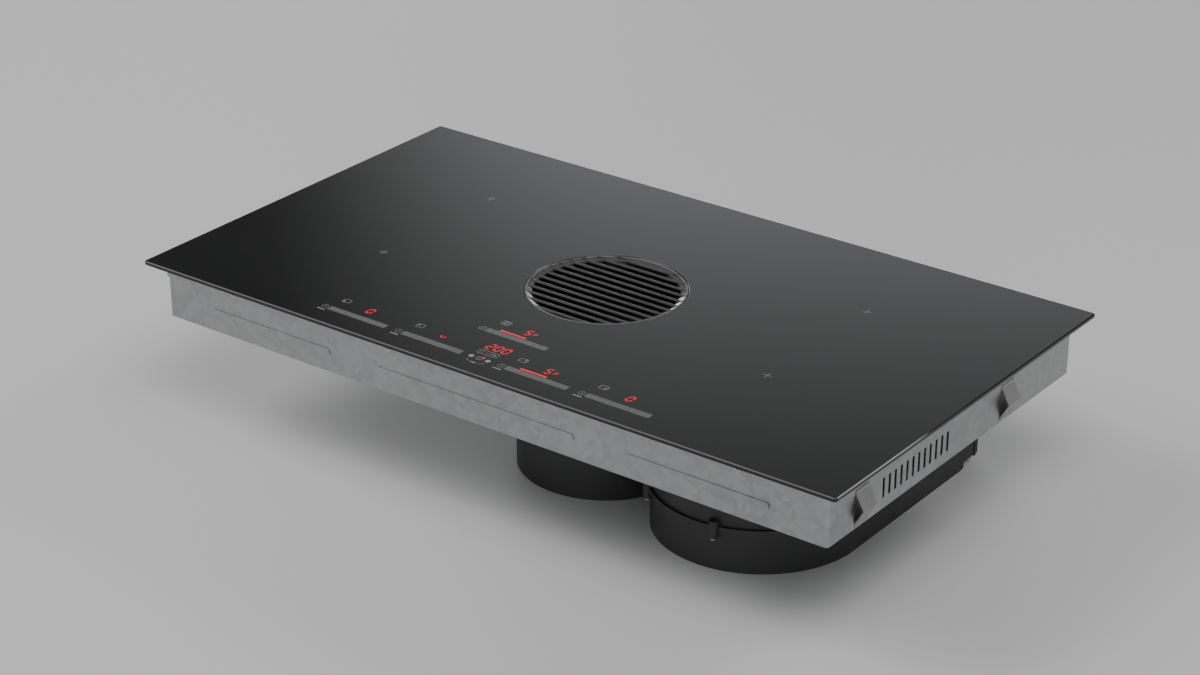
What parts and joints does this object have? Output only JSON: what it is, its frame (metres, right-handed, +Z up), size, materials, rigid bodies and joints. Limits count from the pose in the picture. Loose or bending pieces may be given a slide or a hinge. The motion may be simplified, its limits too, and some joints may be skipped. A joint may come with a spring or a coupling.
{
  "type": "induction cooktop",
  "caption": "Built-in black glass induction hob with a round downdraft grille in the middle, coils under the glass and an extractor with a flat rear spigot.",
  "frame": {"origin": "centre of the worktop cut-out, on the worktop's surface, which is the underside of the seal", "axes": "+X to the user's right, +Y to the back, +Z up"},
  "size_m": [0.9, 0.51, 0.2055],
  "materials": {
    "glass_ceramic": "polished black",
    "seal_foam": "closed-cell foam",
    "silicone": "cured silicone",
    "galvanised_steel": "spangled zinc",
    "zinc_screws": "bright zinc",
    "spring_steel": "rolled",
    "copper_litz": "enamelled strands",
    "former_plastic": "moulded",
    "ferrite": "sintered",
    "mica": "pressed sheet",
    "aluminium_sheet": "mill finish",
    "pcb_laminate": "solder mask",
    "components": "moulded",
    "display_lens": "smoked",
    "black_plastic": "fine texture",
    "grille_metal": "satin grey",
    "filter_steel": "satin",
    "tray_plastic": "moulded",
    "air_unit_plastic": "fine texture",
    "impeller_plastic": "moulded",
    "motor_steel": "painted",
    "shaft_steel": "ground",
    "cable_jacket": "smooth"
  },
  "bodies": {
    "hob": {"air_unit_screws": "zinc_screws", "blower_driver_board": "pcb_laminate", "blower_motor": "motor_steel", "board_components_left": "components", "board_components_right": "components", "board_posts": "components", "bottom_case": "galvanised_steel", "cable_gland": "black_plastic", "carrier_springs": "spring_steel", "case_screws": "zinc_screws", "coil_former_front_left": "former_plastic", "coil_former_front_right": "former_plastic", "coil_former_rear_left": "former_plastic", "coil_former_rear_right": "former_plastic", "coil_plate_left": "aluminium_sheet", "coil_plate_right": "aluminium_sheet", "coil_sensors": "components", "coil_winding_front_left": "copper_litz", "coil_winding_front_right": "copper_litz", "coil_winding_rear_left": "copper_litz", "coil_winding_rear_right": "copper_litz", "collar_seal": "seal_foam", "cooling_fan_frame_left": "black_plastic", "cooling_fan_frame_right": "black_plastic", "ferrite_bars": "ferrite", "glass_adhesive": "silicone", "glass_top": "glass_ceramic", "heatsink_left": "aluminium_sheet", "heatsink_right": "aluminium_sheet", "inlet_pot": "air_unit_plastic", "led_displays": "display_lens", "mains_filter_board": "pcb_laminate", "mica_sheets": "mica", "motor_bushes": "seal_foam", "motor_screws": "zinc_screws", "outlet_spigot": "air_unit_plastic", "pot_gasket": "seal_foam", "power_board_left": "pcb_laminate", "power_board_right": "pcb_laminate", "scroll_base": "air_unit_plastic", "scroll_cover": "air_unit_plastic", "support_frame": "galvanised_steel", "terminal_block": "black_plastic", "touch_board": "pcb_laminate", "touch_board_tray": "black_plastic", "touch_pads": "components", "vent_collar": "black_plastic", "wiring_looms": "cable_jacket", "worktop_clips": "spring_steel", "worktop_seal": "seal_foam"},
    "grille": {"vent_grille": "grille_metal", "grille_pads": "seal_foam"},
    "filter": {"filter_frame": "filter_steel", "filter_mesh": "filter_steel"},
    "filter_bail": {"filter_handle": "filter_steel"},
    "tray": {"liquid_tray": "tray_plastic"},
    "blower_rotor": {"blower_impeller": "impeller_plastic", "motor_shaft": "shaft_steel"},
    "left_fan_rotor": {"cooling_fan_rotor_left": "black_plastic"},
    "right_fan_rotor": {"cooling_fan_rotor_right": "black_plastic"}
  },
  "joints": [
    {"name": "grille_lift", "type": "slide", "parent": "hob", "child": "grille", "axis": [0, 0, 1], "range_m": [0, 0.36]},
    {"name": "filter_lift", "type": "slide", "parent": "hob", "child": "filter", "axis": [0, 0, 1], "range_m": [0, 0.3]},
    {"name": "filter_handle_turn", "type": "hinge", "parent": "filter", "child": "filter_bail", "pos_m": [0, -0.008, -0.0112], "axis": [-1, 0, 0], "range_deg": [0, 90]},
    {"name": "tray_lift", "type": "slide", "parent": "hob", "child": "tray", "axis": [0, 0, 1], "range_m": [0, 0.21]},
    {"name": "blower_spin", "type": "hinge", "parent": "hob", "child": "blower_rotor", "pos_m": [0.205, -0.025, -0.15], "axis": [0, 0, 1], "continuous": true},
    {"name": "left_fan_spin", "type": "hinge", "parent": "hob", "child": "left_fan_rotor", "pos_m": [-0.392, -0.075, -0.055], "axis": [0, 0, 1], "continuous": true},
    {"name": "right_fan_spin", "type": "hinge", "parent": "hob", "child": "right_fan_rotor", "pos_m": [0.392, -0.075, -0.055], "axis": [0, 0, 1], "continuous": true}
  ],
  "couplings": [
    {"joint": "filter_lift", "follows": "grille_lift", "ratio": 0.8333},
    {"joint": "tray_lift", "follows": "grille_lift", "ratio": 0.5833},
    {"joint": "filter_handle_turn", "follows": "grille_lift", "rad_per_m": 4.363}
  ]
}
